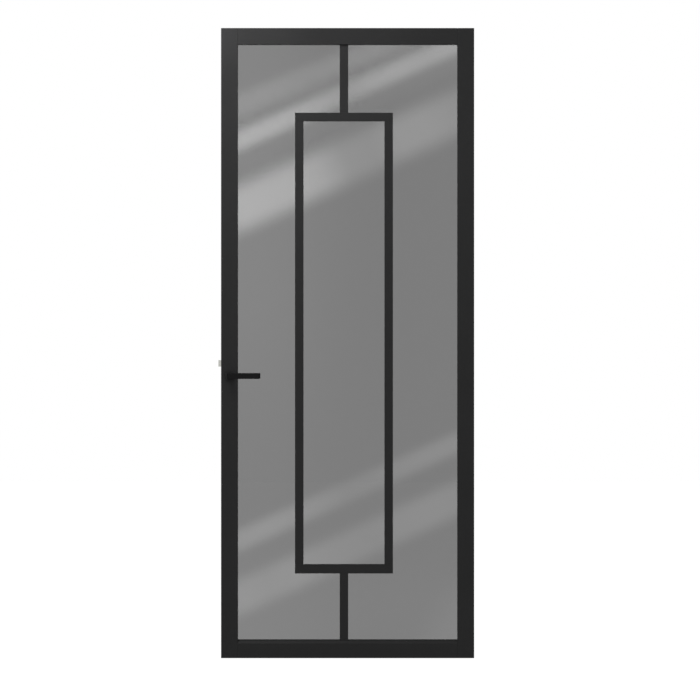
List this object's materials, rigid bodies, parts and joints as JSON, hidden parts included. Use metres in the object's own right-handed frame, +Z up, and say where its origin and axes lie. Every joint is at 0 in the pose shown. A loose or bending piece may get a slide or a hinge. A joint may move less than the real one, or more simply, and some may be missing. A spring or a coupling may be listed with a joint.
{
  "type": "glass door",
  "caption": "Hinged interior door with a slim black frame, a grey tinted glass pane under a black bar pattern, a lever handle and a spring latch.",
  "frame": {"origin": "middle of the lower hinge's jamb plate, on the face that lies against the jamb", "axes": "+Z up, +X from the lock side to the hinge side, -Y towards the viewer of the face that hides the hinge knuckles"},
  "size_m": [0.9411, 0.15, 2.315],
  "materials": {
    "frame_paint": "satin black paint on timber",
    "bar_paint": "satin black powder coat",
    "tinted_glass": "grey body-tinted, polished",
    "glazing_tape": "black closed-cell tape",
    "setting_rubber": "moulded rubber",
    "dowel_wood": "bare beech",
    "handle_black": "matt black coat",
    "nickel": "satin nickel plate",
    "hinge_black": "satin black coat",
    "bright_steel": "zinc plated"
  },
  "bodies": {
    "jamb_side": {"lower_hinge_jamb_plate": "hinge_black", "lower_hinge_pin": "bright_steel", "middle_hinge_jamb_plate": "hinge_black", "middle_hinge_pin": "bright_steel", "upper_hinge_jamb_plate": "hinge_black", "upper_hinge_pin": "bright_steel", "hinge_bearings": "bright_steel"},
    "leaf": {"bead_bottom": "frame_paint", "bead_left": "frame_paint", "bead_pins": "bright_steel", "bead_right": "frame_paint", "bead_top": "frame_paint", "bottom_rail": "frame_paint", "corner_dowels": "dowel_wood", "cover_screws": "bright_steel", "forend": "nickel", "forend_screws": "nickel", "front_bar_rect_bottom": "bar_paint", "front_bar_rect_left": "bar_paint", "front_bar_rect_right": "bar_paint", "front_bar_rect_top": "bar_paint", "front_bar_tape": "glazing_tape", "front_bar_upright_above": "bar_paint", "front_bar_upright_below": "bar_paint", "front_glazing_tape": "glazing_tape", "front_rose_base": "bright_steel", "front_rose_cap": "handle_black", "glass_pane": "tinted_glass", "hinge_screws": "hinge_black", "hinge_stile": "frame_paint", "latch_spring": "bright_steel", "lock_case": "bright_steel", "lock_cover": "bright_steel", "lock_stile": "frame_paint", "lower_hinge_leaf_plate": "hinge_black", "middle_hinge_leaf_plate": "hinge_black", "rear_bar_rect_bottom": "bar_paint", "rear_bar_rect_left": "bar_paint", "rear_bar_rect_right": "bar_paint", "rear_bar_rect_top": "bar_paint", "rear_bar_tape": "glazing_tape", "rear_bar_upright_above": "bar_paint", "rear_bar_upright_below": "bar_paint", "rear_glazing_tape": "glazing_tape", "rear_rose_base": "bright_steel", "rear_rose_cap": "handle_black", "return_spring": "bright_steel", "rose_screws": "bright_steel", "setting_blocks": "setting_rubber", "top_rail": "frame_paint", "upper_hinge_leaf_plate": "hinge_black"},
    "handle": {"front_lever": "handle_black", "rear_lever": "handle_black", "spindle": "bright_steel", "follower": "bright_steel", "grub_screws": "bright_steel"},
    "latch": {"latch_bolt": "nickel"}
  },
  "joints": [
    {"name": "door_swing", "type": "hinge", "parent": "jamb_side", "child": "leaf", "pos_m": [-0.00546, 0.01746, 0], "axis": [0, 0, -1], "range_deg": [0, 170]},
    {"name": "lever_turn", "type": "hinge", "parent": "leaf", "child": "handle", "pos_m": [-0.9006, -0.0085, 0.8065], "axis": [0, 1, 0], "range_deg": [0, 40], "stiffness_Nm_per_rad": 1, "springref_deg": -34.38, "deforming": ["return_spring"]},
    {"name": "latch_slide", "type": "slide", "parent": "leaf", "child": "latch", "axis": [1, 0, 0], "range_m": [0, 0.0105], "stiffness_N_per_m": 120, "springref_m": -0.012, "deforming": ["latch_spring"]}
  ],
  "couplings": [
    {"joint": "latch_slide", "follows": "lever_turn", "m_per_rad": 0.01503}
  ]
}
